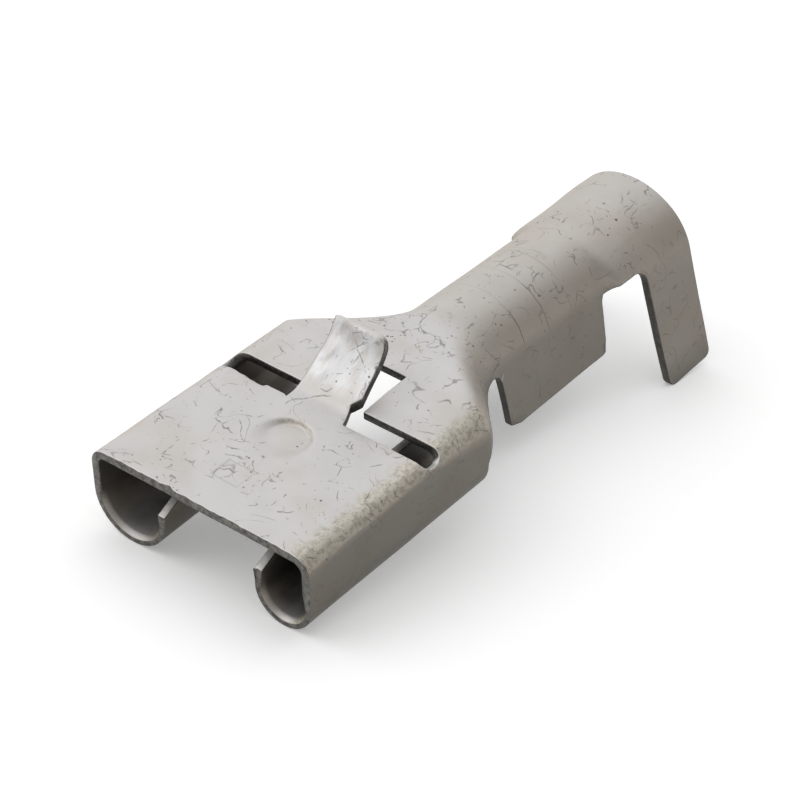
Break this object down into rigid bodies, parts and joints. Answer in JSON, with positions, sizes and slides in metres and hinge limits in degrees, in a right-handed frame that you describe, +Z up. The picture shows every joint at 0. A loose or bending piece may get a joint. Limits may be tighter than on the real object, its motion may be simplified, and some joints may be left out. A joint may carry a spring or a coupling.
{
  "type": "female spade terminal",
  "caption": "Folded-strip female spade terminal: flat web with two rolled rails that grip a blade, a raised lance, and open crimp wings for the wire and its insulation.",
  "frame": {"origin": "on the surface that the terminal lies on, under the middle of its bounding box", "axes": "+Z up from that surface; +Y from the mouth for the blade towards the crimp end, level with the surface; +X to the right, across the blade, seen from the mouth. The terminal's own length is tilted about X, nose down, as it comes to rest on its insulation wing tips and the lower edge of its mouth"},
  "size_m": [0.0076, 0.02, 0.0055],
  "materials": {
    "tinned_brass": "satin tin plate, worn to a warm grey on the outer bends"
  },
  "bodies": {
    "root": {"terminal": "tinned_brass"}
  },
  "joints": []
}
